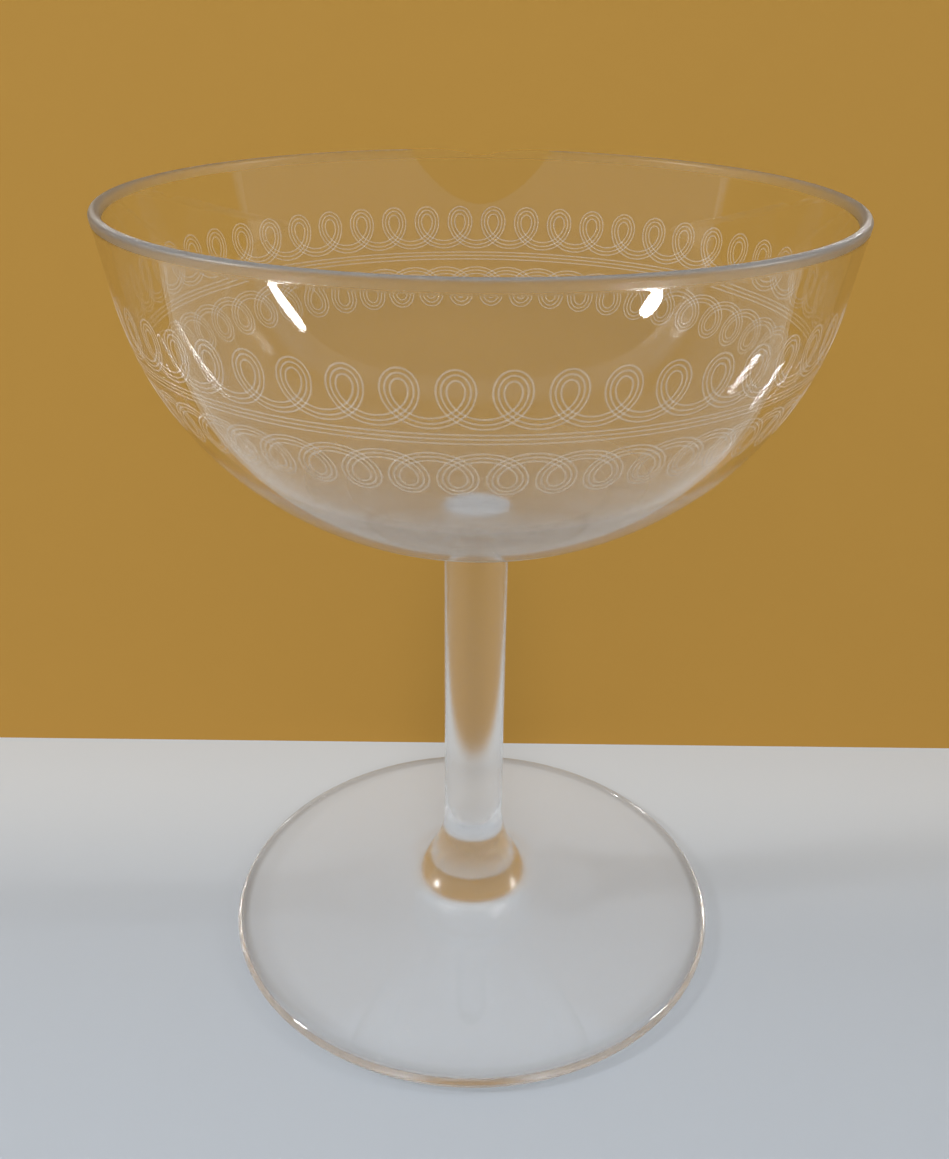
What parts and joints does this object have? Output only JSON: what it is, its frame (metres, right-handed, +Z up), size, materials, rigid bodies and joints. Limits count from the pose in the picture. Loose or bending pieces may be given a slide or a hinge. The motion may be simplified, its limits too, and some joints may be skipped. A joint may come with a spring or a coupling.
{
  "type": "liqueur glass",
  "caption": "Clear glass coupe on a plain round stem, with a coved base on a flat disc foot and an etched band of looped scrolls round the bowl.",
  "frame": {"origin": "middle of the plane that the foot stands on", "axes": "+Z up the stem to the mouth of the bowl; -Y faces the viewer"},
  "size_m": [0.07, 0.07, 0.085],
  "materials": {
    "clear_glass": "fire-polished, colourless"
  },
  "bodies": {
    "root": {"bowl": "clear_glass", "stem": "clear_glass", "foot": "clear_glass"}
  },
  "joints": []
}
